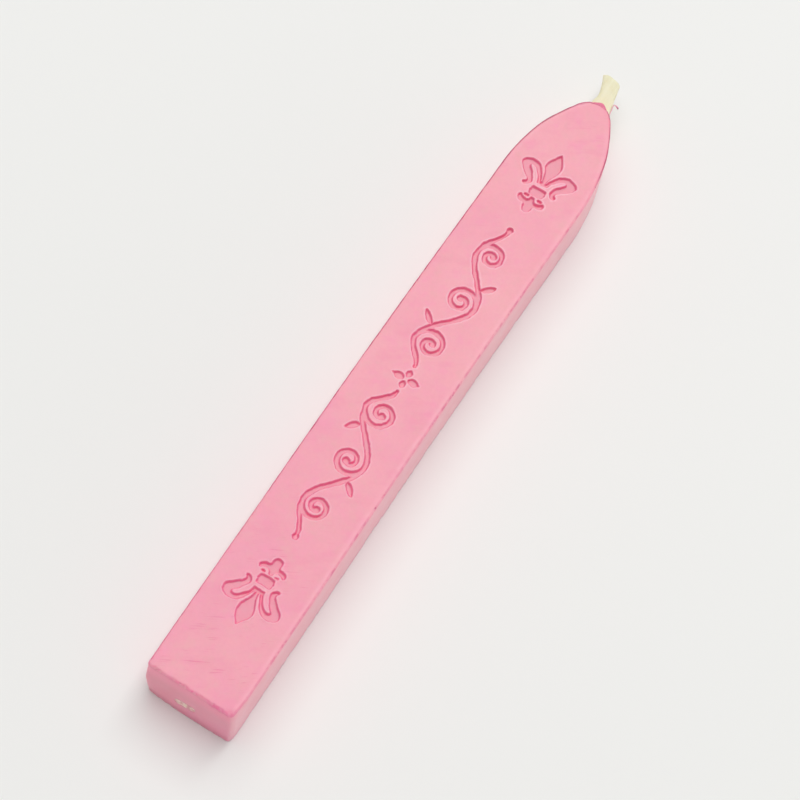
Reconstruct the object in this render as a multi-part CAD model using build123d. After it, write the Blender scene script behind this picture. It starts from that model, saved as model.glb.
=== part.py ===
from build123d import *
import os
from math import atan2, cos, pi, radians, sin

# A sealing wax stick: one cast wax bar with a flat cotton wick through it.
# Frame: origin at the centre of the flat underside, +X from the butt to the
# tip, +Z up through the engraved face. Millimetres.

# ---- driving dimensions -------------------------------------------------
STICK_LENGTH = 90.0        # butt face to apex, wax only
STICK_WIDTH = 11.4
STICK_HEIGHT = 8.5
BUTT_CORNER_R = 0.6        # upright corners of the butt
EDGE_R = 0.4               # rounded top and bottom edges

FLANK_R = 24.0             # long curve of the pointed arch
FLANK_TURN = 30.0          # degrees turned on the long curve
NOSE_R = 4.45              # tighter curve up to the apex
NOSE_TURN = 68.0           # degrees turned where the small round of the apex begins

RECESS_DEPTH = 0.4         # engraved ornament
ORNAMENT_Y = 0.12          # axis of the scroll
TIP_FLEUR_NECK = (30.95, 0.12)
BUTT_FLEUR_NECK = (-30.94, 0.0)

WICK_WIDTH = 2.7           # flat braid, wide side level
WICK_THICK = 1.0
WICK_ROUND = 0.45          # rounded edges of the braid
WICK_BUTT_Y, WICK_BUTT_Z = 0.2, 3.2
WICK_TIP_Y, WICK_TIP_Z = 0.0, 4.25

BEND_X = 45.8              # where the free wick end bends
BEND_GAP = 0.1             # room between the cast-in run and the free end
WICK_END_OUTLINE = [       # free end in plan, with its slanting cut
    (BEND_X, -1.28),
    (46.9, -1.06),
    (47.92, -0.82),
    (49.3, -0.49),
    (50.6, -0.24),
    (51.2, 2.42),
    (50.25, 2.04),
    (49.3, 1.71),
    (48.4, 1.52),
    (47.2, 1.66),
    (BEND_X, 1.5),
]

HALF_L, HALF_W = STICK_LENGTH / 2, STICK_WIDTH / 2


# ---- wax bar ------------------------------------------------------------
def on_arc(cx, cy, r, deg):
    """Point on an arc, the angle counted from the side towards the axis."""
    return (cx + r * sin(radians(deg)), cy + r * cos(radians(deg)))


tf, tn = radians(FLANK_TURN), radians(NOSE_TURN)
# half width left at the end of the tighter curve, and the round that closes it
nose_y = HALF_W - FLANK_R * (1 - cos(tf)) - NOSE_R * (cos(tf) - cos(tn))
APEX_R = nose_y / cos(tn)
# the sides start to draw in here
SHOULDER_X = HALF_L - (FLANK_R * sin(tf) + NOSE_R * (sin(tn) - sin(tf)) + APEX_R * (1 - sin(tn)))
flank_c = (SHOULDER_X, HALF_W - FLANK_R)
shoulder = (SHOULDER_X, HALF_W)
flank_mid = on_arc(*flank_c, FLANK_R, FLANK_TURN / 2)
flank_end = on_arc(*flank_c, FLANK_R, FLANK_TURN)
nose_c = (flank_end[0] - NOSE_R * sin(tf), flank_end[1] - NOSE_R * cos(tf))
nose_mid = on_arc(*nose_c, NOSE_R, (FLANK_TURN + NOSE_TURN) / 2)
nose_end = on_arc(*nose_c, NOSE_R, NOSE_TURN)


def flip(p):
    return (p[0], -p[1])


b = BUTT_CORNER_R
k = b * (1 - cos(pi / 4))
outline = [
    Line((-HALF_L + b, HALF_W), shoulder),
    ThreePointArc(shoulder, flank_mid, flank_end),
    ThreePointArc(flank_end, nose_mid, nose_end),
    ThreePointArc(nose_end, (HALF_L, 0), flip(nose_end)),
    ThreePointArc(flip(nose_end), flip(nose_mid), flip(flank_end)),
    ThreePointArc(flip(flank_end), flip(flank_mid), flip(shoulder)),
    Line(flip(shoulder), (-HALF_L + b, -HALF_W)),
    ThreePointArc((-HALF_L + b, -HALF_W), (-HALF_L + k, -HALF_W + k), (-HALF_L, -HALF_W + b)),
    Line((-HALF_L, -HALF_W + b), (-HALF_L, HALF_W - b)),
    ThreePointArc((-HALF_L, HALF_W - b), (-HALF_L + k, HALF_W - k), (-HALF_L + b, HALF_W)),
]
plan = make_face(Wire(outline))
bar = extrude(plan, STICK_HEIGHT)
rims = bar.faces().sort_by(Axis.Z)[-1].edges() + bar.faces().sort_by(Axis.Z)[0].edges()
bar = fillet(rims, EDGE_R)

# ---- wick ---------------------------------------------------------------
# The cast-in run is straight, from the butt face to just outside the apex.
wick_stop = BEND_X - WICK_THICK / 2 - BEND_GAP
start = Vector(-HALF_L, WICK_BUTT_Y, WICK_BUTT_Z)
finish = Vector(BEND_X, WICK_TIP_Y, WICK_TIP_Z)
slope = (finish - start) * (1 / (finish - start).X)


def wick_run(x0, x1):
    """Flat braid between two cross planes of the stick."""
    across = Plane(origin=start + slope * (x0 + HALF_L), x_dir=(0, 1, 0), z_dir=(1, 0, 0))
    section = across * RectangleRounded(WICK_WIDTH, WICK_THICK, WICK_ROUND)
    path = slope * (x1 - x0)
    return extrude(section, path.length, dir=path.normalized())


wick = wick_run(-HALF_L, wick_stop)

# ---- free wick end: a rounded root on the bend line, then the flat strip --
strip = Pos(0, 0, WICK_TIP_Z - WICK_THICK / 2) * extrude(
    make_face(Polyline(WICK_END_OUTLINE, close=True)), WICK_THICK
)
root_lo, root_hi = WICK_END_OUTLINE[0][1], WICK_END_OUTLINE[-1][1]
root = Pos(BEND_X, (root_lo + root_hi) / 2, WICK_TIP_Z) * Rot(90, 0, 0) * Cylinder(
    WICK_THICK / 2, root_hi - root_lo
)
wick_end = strip + root


# ---- engraved ornament --------------------------------------------------
# Fleur-de-lis, one half: u runs from the neck to the point of the centre
# petal, v to one side.
SIDE_PETAL = [
    (0.0, 0.30), (0.65, 0.46), (1.35, 0.78), (2.0, 1.18), (2.42, 1.68), (2.60, 2.3),
    (2.58, 2.85), (2.4, 3.3), (2.08, 3.6), (1.72, 3.68), (1.35, 3.56), (1.0, 3.25),
    (0.62, 2.82), (0.28, 2.42), (0.0, 2.12), (-0.22, 1.98), (-0.42, 1.98),
    (-0.55, 2.1), (-0.62, 2.3), (-0.76, 2.38), (-0.93, 2.25), (-0.98, 1.95),
    (-0.85, 1.6), (-0.55, 1.36), (-0.2, 1.3), (0.2, 1.42), (0.6, 1.66), (1.0, 1.95),
    (1.35, 2.25), (1.62, 2.46), (1.84, 2.4), (1.9, 2.12), (1.75, 1.78), (1.35, 1.36),
    (0.9, 1.02), (0.45, 0.78), (0.0, 0.66),
]
CENTRE_PETAL = [
    (4.87, 0.0), (4.5, 0.27), (4.0, 0.58), (3.45, 0.84), (2.9, 0.97), (2.4, 0.9),
    (1.95, 0.72), (1.45, 0.5), (0.95, 0.33), (0.5, 0.24), (0.0, 0.2),
]
BAND = [
    (-0.57, 0.7), (-0.72, 0.93), (-1.0, 0.95), (-1.18, 1.05), (-1.38, 0.97),
    (-1.66, 0.9), (-1.79, 0.66),
]
FOOT = [
    (-4.36, 0.0), (-4.25, 0.3), (-3.98, 0.52), (-3.6, 0.64), (-3.24, 0.6),
    (-3.04, 0.78), (-3.02, 1.15), (-2.96, 1.5), (-2.82, 1.74), (-2.6, 1.82),
    (-2.42, 1.66), (-2.44, 1.3), (-2.54, 0.98), (-2.66, 0.66), (-2.5, 0.4),
    (-2.26, 0.3), (-2.08, 0.2),
]
DOT = [
    (-2.02, 0.72), (-2.0, 1.0), (-2.14, 1.12), (-2.34, 1.08), (-2.46, 0.94),
    (-2.4, 0.76), (-2.2, 0.68),
]
NECK = [(0.0, 0.66), (0.0, -0.66), (0.45, -0.5), (0.45, 0.5)]


def mirrored(half):
    return half + [(u, -v) for u, v in reversed(half) if abs(v) > 1e-9]


def fleur(neck, way):
    """Closed outlines of one fleur-de-lis in the plan of the stick."""
    shapes = [
        SIDE_PETAL,
        [(u, -v) for u, v in SIDE_PETAL],
        mirrored(CENTRE_PETAL),
        mirrored(BAND),
        mirrored(FOOT),
        DOT,
        [(u, -v) for u, v in DOT],
        NECK,
    ]
    return [[(neck[0] + way * u, neck[1] + v) for u, v in s] for s in shapes]


# Running scroll between the two: half of it, mirrored about the rosette.
SCROLL_PITCH = 6.9
SCROLL_FIRST = 5.3
SCROLL_RISE = [2.05, 1.95, 1.75]
STROKE_R = 0.3


def scroll_lines():
    """Centre lines of the scroll's right half."""
    lines = []
    for n, rise in enumerate(SCROLL_RISE):
        s = 1 if n % 2 == 0 else -1
        c = SCROLL_FIRST + n * SCROLL_PITCH
        pts = []
        if n == 0:
            for i in range(9):
                t = i / 8
                pts.append((1.9 + (c - 1.9) * t, s * rise * (1 - cos(pi * t)) / 2))
        else:
            before = SCROLL_RISE[n - 1]
            for i in range(1, 13):
                t = i / 12
                down, up = (1 + cos(pi * t)) / 2, (1 - cos(pi * t)) / 2
                pts.append((c - SCROLL_PITCH * (1 - t), s * (rise * up - before * down)))
        for i in range(1, 33):
            t = i / 32
            r = rise + (0.36 - rise) * t ** 0.92
            a = pi / 2 - 1.3 * 2 * pi * t
            pts.append((c + r * cos(a), s * r * sin(a)))
        lines.append(pts)
    c = SCROLL_FIRST + 2 * SCROLL_PITCH
    lines.append(
        [(c + 4.2 * i / 8, SCROLL_RISE[2] * (1 + cos(pi * i / 8)) / 2) for i in range(1, 9)]
    )
    return lines


def stroke_face(pts, r):
    """Flat stroke of half width r along a centre line, with round ends."""
    left, right = [], []
    last = len(pts) - 1
    for i, p in enumerate(pts):
        q0, q1 = pts[max(i - 1, 0)], pts[min(i + 1, last)]
        a = atan2(q1[1] - q0[1], q1[0] - q0[0])
        left.append((p[0] - r * sin(a), p[1] + r * cos(a)))
        right.append((p[0] + r * sin(a), p[1] - r * cos(a)))
    a0 = atan2(pts[1][1] - pts[0][1], pts[1][0] - pts[0][0])
    a1 = atan2(pts[-1][1] - pts[-2][1], pts[-1][0] - pts[-2][0])
    head = (pts[-1][0] + r * cos(a1), pts[-1][1] + r * sin(a1))
    tail = (pts[0][0] - r * cos(a0), pts[0][1] - r * sin(a0))
    return make_face(
        Wire(
            [
                Spline(left),
                ThreePointArc(left[-1], head, right[-1]),
                Spline(list(reversed(right))),
                ThreePointArc(right[0], tail, left[0]),
            ]
        )
    )


floor_z = STICK_HEIGHT - RECESS_DEPTH
recesses = []
for neck, way in ((TIP_FLEUR_NECK, 1), (BUTT_FLEUR_NECK, -1)):
    for shape in fleur(neck, way):
        recesses.append(make_face(Polyline(shape, close=True)))
for way in (1, -1):
    for pts in scroll_lines():
        recesses.append(stroke_face([(way * x, ORNAMENT_Y + y) for x, y in pts], STROKE_R))
for reach, half in ((1.25, 0.36), (1.75, 0.44)):
    for s in (1, -1):
        pts = [(0.28, 0), (reach * 0.45, half * 0.85), (reach * 0.7, half), (reach, 0)]
        leaf = pts + [(u, -v) for u, v in reversed(pts[1:-1])]
        if reach == 1.25:
            leaf = [(s * u, ORNAMENT_Y + v) for u, v in leaf]
        else:
            leaf = [(v, ORNAMENT_Y + s * u) for u, v in leaf]
        recesses.append(make_face(Polyline(leaf, close=True)))

wax_body = bar - wick_run(-HALF_L - 3, HALF_L + 3)
for face in recesses:
    wax_body = wax_body - Pos(0, 0, floor_z) * extrude(face, RECESS_DEPTH + 0.3, dir=(0, 0, 1))

# ---- output -------------------------------------------------------------
nodes = {"wax_body": wax_body, "wick": wick, "wick_end": wick_end}
os.makedirs("parts", exist_ok=True)
for name, shape in nodes.items():
    solids = shape.solids()
    export_step(Compound(solids) if len(solids) > 1 else solids[0], f"parts/{name}.step")
    print(name, len(solids), "solid(s)", round(sum(s.volume for s in solids), 2), "mm3")
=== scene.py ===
import math

import bpy
import bmesh
import numpy as np
from mathutils import Matrix, Vector
from mathutils.geometry import delaunay_2d_cdt


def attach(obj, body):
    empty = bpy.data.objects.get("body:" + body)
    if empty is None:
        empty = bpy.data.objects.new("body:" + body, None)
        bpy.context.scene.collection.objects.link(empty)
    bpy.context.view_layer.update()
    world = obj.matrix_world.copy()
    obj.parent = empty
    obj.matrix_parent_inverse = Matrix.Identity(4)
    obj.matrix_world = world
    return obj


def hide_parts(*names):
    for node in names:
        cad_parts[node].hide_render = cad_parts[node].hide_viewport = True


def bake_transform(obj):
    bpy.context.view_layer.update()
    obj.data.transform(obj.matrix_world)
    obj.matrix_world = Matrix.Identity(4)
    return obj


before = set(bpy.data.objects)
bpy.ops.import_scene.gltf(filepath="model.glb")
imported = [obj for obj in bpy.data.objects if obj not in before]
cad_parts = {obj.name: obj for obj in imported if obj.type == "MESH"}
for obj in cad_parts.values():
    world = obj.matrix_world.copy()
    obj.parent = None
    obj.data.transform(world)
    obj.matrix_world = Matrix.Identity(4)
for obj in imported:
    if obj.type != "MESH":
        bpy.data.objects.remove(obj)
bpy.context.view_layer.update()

MM = 0.001
scene = bpy.context.scene
scene.view_settings.view_transform = "Standard"
scene.view_settings.look = "None"
scene.view_settings.exposure = 0.0
scene.view_settings.gamma = 1.0

# ---------------------------------------------------------------- dimensions, mm
L, W, H = 90.0, 11.4, 8.5
HL, HW = L / 2, W / 2
BUTT_R = 0.55
CORNER_IN = 0.27  # how far the near butt corner is worn in at the top
FLANK_R, FLANK_TURN = 24.0, math.radians(30.0)
NOSE_R, NOSE_TURN = 4.45, math.radians(68.0)
NOSE_Y = HW - FLANK_R * (1 - math.cos(FLANK_TURN)) - NOSE_R * (math.cos(FLANK_TURN) - math.cos(NOSE_TURN))
APEX_R = NOSE_Y / math.cos(NOSE_TURN)
SHOULDER = HL - (FLANK_R * math.sin(FLANK_TURN) + NOSE_R * (math.sin(NOSE_TURN) - math.sin(FLANK_TURN)) + APEX_R * (1 - math.sin(NOSE_TURN)))
DEPTH = 0.38
ORN_Y = 0.12
FLEURS = ((30.95, 0.12, 1.0), (-30.94, 0.0, -1.0))  # neck x and y, pointing way
BEND_X, BEND_Z = 45.8, 4.25


# ---------------------------------------------------------------- smooth noise
def _hash(ix, iy, iz, seed):
    h = (ix.astype(np.int64) * 374761393 + iy.astype(np.int64) * 668265263 + iz.astype(np.int64) * 2147483647 + seed * 974711) & 0xFFFFFFFF
    h = ((h ^ (h >> 13)) * 1274126177) & 0xFFFFFFFF
    h = ((h ^ (h >> 16)) * 2246822519) & 0xFFFFFFFF
    return ((h ^ (h >> 15)) & 0xFFFF) / 32767.5 - 1.0


def noise3(x, y, z, seed=0):
    """Smooth value noise, about -1 to 1, one cell per unit."""
    x, y, z = np.broadcast_arrays(np.asarray(x, float), np.asarray(y, float), np.asarray(z, float))
    ix, iy, iz = np.floor(x), np.floor(y), np.floor(z)
    fx, fy, fz = x - ix, y - iy, z - iz
    ux, uy, uz = (f * f * f * (f * (f * 6 - 15) + 10) for f in (fx, fy, fz))
    out = 0.0
    for dx in (0, 1):
        for dy in (0, 1):
            for dz in (0, 1):
                w = (ux if dx else 1 - ux) * (uy if dy else 1 - uy) * (uz if dz else 1 - uz)
                out = out + w * _hash(ix + dx, iy + dy, iz + dz, seed)
    return out


def smooth(a, b, t):
    t = np.clip((t - a) / (b - a), 0, 1)
    return t * t * (3 - 2 * t)


def curve1d(xs, ys, x):
    """Smooth curve through a few given values."""
    xs, ys = np.asarray(xs, float), np.asarray(ys, float)
    m = np.gradient(ys, xs)
    x = np.clip(x, xs[0], xs[-1])
    i = np.clip(np.searchsorted(xs, x) - 1, 0, len(xs) - 2)
    h = xs[i + 1] - xs[i]
    t = (x - xs[i]) / h
    return ((2 * t**3 - 3 * t**2 + 1) * ys[i] + (t**3 - 2 * t**2 + t) * h * m[i]
            + (-2 * t**3 + 3 * t**2) * ys[i + 1] + (t**3 - t**2) * h * m[i + 1])


# ---------------------------------------------------------------- plan of the stick
def centre(x):
    """The bar is very slightly bowed along its length."""
    return curve1d([-45, -37, -25, -13, -1, 7, 19, 29, 38, 45],
                   [-0.24, -0.14, -0.03, 0.11, 0.20, 0.19, 0.12, 0.03, 0.03, -0.10], x)


def half_width(x):
    x = np.asarray(x, float)
    fx = SHOULDER + FLANK_R * math.sin(FLANK_TURN)
    fy = HW - FLANK_R * (1 - math.cos(FLANK_TURN))
    ncx, ncy = fx - NOSE_R * math.sin(FLANK_TURN), fy - NOSE_R * math.cos(FLANK_TURN)
    nx = ncx + NOSE_R * math.sin(NOSE_TURN)
    y = np.full(x.shape, HW)
    a = (x > SHOULDER) & (x <= fx)
    y[a] = HW - FLANK_R + np.sqrt(FLANK_R**2 - (x[a] - SHOULDER) ** 2)
    b = (x > fx) & (x <= nx)
    y[b] = ncy + np.sqrt(np.maximum(NOSE_R**2 - (x[b] - ncx) ** 2, 0))
    c = x > nx
    y[c] = np.sqrt(np.maximum(APEX_R**2 - (x[c] - (HL - APEX_R)) ** 2, 0))
    return y + swell(x)


def swell(x):
    """The flanks of the point stand a touch fuller than plain arcs."""
    return 0.09 * np.exp(-(((np.asarray(x, float) - 38.6) / 2.4) ** 2))


def plan_outline():
    """Closed outline, counter-clockwise from above, starting on the -Y side at the butt."""
    side = [(x, HW) for x in np.linspace(-HL + BUTT_R, SHOULDER, int((SHOULDER + HL) / 0.2))]
    for a in np.linspace(0, FLANK_TURN, 64)[1:]:
        side.append((SHOULDER + FLANK_R * math.sin(a), HW - FLANK_R + FLANK_R * math.cos(a)))
    fx, fy = side[-1]
    cx, cy = fx - NOSE_R * math.sin(FLANK_TURN), fy - NOSE_R * math.cos(FLANK_TURN)
    for a in np.linspace(FLANK_TURN, NOSE_TURN, 26)[1:]:
        side.append((cx + NOSE_R * math.sin(a), cy + NOSE_R * math.cos(a)))
    for a in np.linspace(NOSE_TURN, math.pi / 2, 6)[1:]:
        side.append((HL - APEX_R + APEX_R * math.sin(a), APEX_R * math.cos(a)))
    lower = [(x, -y) for x, y in side]
    upper = [(x, y) for x, y in reversed(side[:-1])]
    butt = []
    for a in np.linspace(0, math.pi / 2, 9)[1:]:
        butt.append((-HL + BUTT_R - BUTT_R * math.sin(a), HW - BUTT_R + BUTT_R * math.cos(a)))
    for y in np.linspace(HW - BUTT_R, -HW + BUTT_R, 96)[1:]:
        butt.append((-HL, y))
    for a in np.linspace(0, math.pi / 2, 9)[1:-1]:
        butt.append((-HL + BUTT_R - BUTT_R * math.cos(a), -HW + BUTT_R - BUTT_R * math.sin(a)))
    P = np.array(lower + upper + butt)
    P[:, 1] += np.sign(P[:, 1]) * swell(P[:, 0]) + centre(P[:, 0])
    return P


# ---------------------------------------------------------------- ornament
SIDE_PETAL = [
    (0.0, 0.30), (0.65, 0.46), (1.35, 0.78), (2.0, 1.18), (2.42, 1.68), (2.60, 2.3),
    (2.58, 2.85), (2.4, 3.3), (2.08, 3.6), (1.72, 3.68), (1.35, 3.56), (1.0, 3.25),
    (0.62, 2.82), (0.28, 2.42), (0.0, 2.12), (-0.22, 1.98), (-0.42, 1.98),
    (-0.55, 2.08), (-0.62, 2.2), (-0.76, 2.24), (-0.93, 2.14), (-0.98, 1.9),
    (-0.85, 1.6), (-0.55, 1.36), (-0.2, 1.3), (0.2, 1.42), (0.6, 1.66), (1.0, 1.95),
    (1.35, 2.25), (1.62, 2.46), (1.84, 2.4), (1.9, 2.12), (1.75, 1.78), (1.35, 1.36),
    (0.9, 1.02), (0.45, 0.78), (0.0, 0.66),
]
CENTRE_PETAL = [
    (4.87, 0.0), (4.5, 0.27), (4.0, 0.58), (3.45, 0.84), (2.9, 0.97), (2.4, 0.9),
    (1.95, 0.72), (1.45, 0.5), (0.95, 0.33), (0.5, 0.24), (0.0, 0.2),
]
BAND = [
    (-0.57, 0.7), (-0.72, 0.93), (-1.0, 0.95), (-1.18, 1.05), (-1.38, 0.97),
    (-1.66, 0.9), (-1.79, 0.66),
]
FOOT = [
    (-4.26, 0.0), (-4.20, 0.31), (-3.96, 0.53), (-3.62, 0.62), (-3.33, 0.60),
    (-3.20, 0.76), (-3.19, 1.09), (-3.10, 1.42), (-2.88, 1.64), (-2.56, 1.69),
    (-2.30, 1.55), (-2.32, 1.37), (-2.48, 1.22), (-2.58, 0.93), (-2.66, 0.60), (-2.5, 0.36),
    (-2.26, 0.27), (-2.08, 0.18),
]
DOT = [
    (-1.98, 0.70), (-1.96, 1.0), (-2.06, 1.20), (-2.20, 1.18), (-2.28, 1.0),
    (-2.24, 0.76), (-2.12, 0.62),
]
NECK = [(0.0, 0.66), (0.0, -0.66), (0.45, -0.5), (0.45, 0.5)]


def through(P, closed, n=6, sharp=()):
    """Smooth line through points, with corners kept where sharp."""
    P = np.array(P, float)
    m, out = len(P), []
    for i in range(m if closed else m - 1):
        p1, p2 = P[i], P[(i + 1) % m]
        p0 = P[(i - 1) % m] if closed or i > 0 else 2 * p1 - p2
        p3 = P[(i + 2) % m] if closed or i < m - 2 else 2 * p2 - p1
        if i in sharp:
            p0 = 2 * p1 - p2
        if (i + 1) % m in sharp:
            p3 = 2 * p2 - p1
        for t in np.arange(n) / n:
            out.append(0.5 * (2 * p1 + (p2 - p0) * t + (2 * p0 - 5 * p1 + 4 * p2 - p3) * t * t + (3 * p1 - p0 - 3 * p2 + p3) * t**3))
    if not closed:
        out.append(P[-1])
    return np.array(out)


def mirrored(half):
    return list(half) + [(u, -v) for u, v in reversed(half) if abs(v) > 1e-9]


def fleur_shapes():
    side = through(SIDE_PETAL, False)
    dot = through(DOT, True)
    return [
        side, side * [1, -1],
        through(mirrored(CENTRE_PETAL), True, sharp=(0,)),
        through(mirrored(BAND), True),
        through(mirrored(FOOT), True),
        dot, dot * [1, -1],
        np.array(NECK),
    ]


PITCH, FIRST, RISE = 6.9, 5.3, (2.05, 1.95, 1.75)


def leaf_stroke(x, y, deg, length, w, bend):
    t = np.linspace(0, 1, 14)
    a = math.radians(deg)
    px, py = length * t, bend * np.sin(np.pi * t * 0.5) * t * length
    P = np.stack([x + px * math.cos(a) - py * math.sin(a), y + px * math.sin(a) + py * math.cos(a)], 1)
    return P, np.maximum(w * np.sin(np.pi * np.clip(t * 0.86 + 0.1, 0, 1)) ** 0.8, 0.07)


def scroll_strokes():
    """Right half of the running scroll: centre lines and half widths."""
    out = []
    for k, rise in enumerate(RISE):
        s = 1 if k % 2 == 0 else -1
        c = FIRST + k * PITCH
        if k == 0:
            x = np.linspace(1.9, c, 40)
            u = (x - 1.9) / (c - 1.9)
            y = rise * (1 - np.cos(np.pi * u)) / 2
            r = np.interp(u, [0, 0.4, 1], [0.18, 0.3, 0.31])
        else:
            x = np.linspace(c - PITCH, c, 56)[4:]
            u = (x - (c - PITCH)) / PITCH
            y = s * (rise * (1 - np.cos(np.pi * u)) / 2 - RISE[k - 1] * (1 + np.cos(np.pi * u)) / 2)
            r = np.interp(u, [0, 0.15, 0.4, 1], [0.2, 0.27, 0.31, 0.31])
        t = np.linspace(0, 1, 84)[1:]
        rr = rise + (0.34 - rise) * t**0.92
        a = np.pi / 2 - 1.36 * 2 * np.pi * t
        P = np.stack([np.r_[x, c + rr * np.cos(a)], np.r_[y, s * rr * np.sin(a)]], 1)
        out.append((P, np.r_[r, np.interp(t, [0, 0.75, 0.93, 1], [0.31, 0.27, 0.3, 0.42])]))
        if k < 2:
            out.append(leaf_stroke(c + PITCH * 0.36, s * rise * 0.65, 62 * s, 1.75, 0.36, -0.25 * s))
    c = FIRST + 2 * PITCH
    u = np.linspace(0.06, 1, 40)
    P = np.stack([c + 4.3 * u, RISE[2] * (1 + np.cos(np.pi * u)) / 2], 1)
    out.append((P, np.interp(u, [0, 0.2, 0.8, 0.94, 1], [0.2, 0.28, 0.22, 0.26, 0.38])))
    return out


def rosette_shapes():
    out = []
    for q in range(4):
        h = [(0.28, 0.0), (0.55, 0.3), (0.95, 0.36), (1.25, 0.0)] if q % 2 == 0 else [(0.28, 0.0), (0.6, 0.36), (1.15, 0.44), (1.75, 0.0)]
        c, s = math.cos(q * math.pi / 2), math.sin(q * math.pi / 2)
        out.append(through(mirrored(h), True, sharp=(3,)) @ np.array([[c, s], [-s, c]]))
    return out


def poly_distance(P, poly):
    """Signed distance to a closed shape, negative inside."""
    A, B = poly, np.roll(poly, -1, 0)
    d2, wind = np.full(len(P), 1e9), np.zeros(len(P), int)
    for a, b in zip(A, B):
        e = b - a
        n = e @ e
        if n < 1e-14:
            continue
        q = P - a
        t = np.clip((q @ e) / n, 0, 1)
        g = q - t[:, None] * e
        d2 = np.minimum(d2, (g * g).sum(1))
        cr = e[0] * q[:, 1] - e[1] * q[:, 0]
        wind += ((a[1] <= P[:, 1]) & (b[1] > P[:, 1]) & (cr > 0)).astype(int)
        wind -= ((a[1] > P[:, 1]) & (b[1] <= P[:, 1]) & (cr < 0)).astype(int)
    d = np.sqrt(d2)
    return np.where(wind != 0, -d, d)


def stroke_distance(P, pts, rad):
    d = np.full(len(P), 1e9)
    for a, b, ra, rb in zip(pts[:-1], pts[1:], rad[:-1], rad[1:]):
        e = b - a
        q = P - a
        t = np.clip((q @ e) / (e @ e), 0, 1)
        g = q - t[:, None] * e
        d = np.minimum(d, np.sqrt((g * g).sum(1)) - (ra + (rb - ra) * t))
    return d


ORNAMENT = []
for neck, off, way in FLEURS:
    for s in fleur_shapes():
        ORNAMENT.append(("poly", s * [way, 1] + [neck, off], None))
for s in rosette_shapes():
    ORNAMENT.append(("poly", s + [0, ORN_Y], None))
for pts, rad in scroll_strokes():
    for way in (1, -1):
        ORNAMENT.append(("stroke", pts * [way, 1] + [0, ORN_Y], rad))


def engraving_distance(P):
    """Distance to the nearest engraved outline, negative in a recess."""
    d = np.full(len(P), 2.0)
    for kind, pts, rad in ORNAMENT:
        pad = 0.75 + (rad.max() if rad is not None else 0)
        lo, hi = pts.min(0) - pad, pts.max(0) + pad
        m = np.all((P > lo) & (P < hi), 1)
        if m.any():
            d[m] = np.minimum(d[m], poly_distance(P[m], pts) if kind == "poly" else stroke_distance(P[m], pts, rad))
    # the cast outline is a little ragged
    x, y = P[:, 0], P[:, 1]
    return d + 0.055 * noise3(x / 0.70, y / 0.70, 0, 44) + 0.034 * noise3(x / 0.28, y / 0.28, 0, 45)


def engraving_height(x, y, d):
    steep = 0.14 + 0.04 * noise3(x / 1.3, y / 1.3, 0, 46)
    cut = smooth(0.05, -steep, d)
    lip = 0.040 * (1 + 0.6 * noise3(x / 0.9, y / 0.9, 0, 47)) * np.exp(-(((d - 0.14) / 0.075) ** 2))
    rough = 0.018 * noise3(x / 0.55, y / 0.55, 0, 41) + 0.012 * noise3(x / 0.23, y / 0.23, 0, 42)
    depth = DEPTH * (1 + 0.10 * noise3(x / 3.1, y / 3.1, 0, 43))
    return lip - cut * depth + cut * rough


# ---------------------------------------------------------------- mesh helpers
def new_object(name, verts, faces, smooth_shade=True):
    me = bpy.data.meshes.new(name)
    me.from_pydata((np.asarray(verts) * MM).tolist(), [], [list(map(int, f)) for f in faces])
    me.validate()
    if smooth_shade:
        me.polygons.foreach_set("use_smooth", np.ones(len(me.polygons), bool))
    me.update()
    ob = bpy.data.objects.new(name, me)
    scene.collection.objects.link(ob)
    return ob


def coords(ob):
    co = np.zeros(len(ob.data.vertices) * 3, np.float32)
    ob.data.vertices.foreach_get("co", co)
    return co.reshape(-1, 3).astype(float) / MM


def set_coords(ob, co):
    ob.data.vertices.foreach_set("co", (co * MM).astype(np.float32).ravel())
    ob.data.update()


def set_attribute(ob, name, values):
    at = ob.data.attributes.get(name) or ob.data.attributes.new(name, "FLOAT", "POINT")
    at.data.foreach_set("value", np.asarray(values, np.float32))


def fill(ring, inside):
    """Triangles over a closed ring and the points inside it, none outside it."""
    n = len(ring)
    v2, _, f2, ov, _, _ = delaunay_2d_cdt([Vector(p) for p in np.concatenate([ring, inside])], [(i, (i + 1) % n) for i in range(n)], [], 1, 1e-6, True)
    src = [min(o) if o else n for o in ov]
    on_ring = [f for f in f2 if all(src[i] < n for i in f)]
    drop = set()
    if on_ring:
        mid = np.array([[sum(v2[i][k] for i in f) / 3 for k in (0, 1)] for f in on_ring])
        drop = {tuple(f) for f, d in zip(on_ring, poly_distance(mid, ring)) if d > 0}
    return v2, [f for f in f2 if tuple(f) not in drop], src


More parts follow.
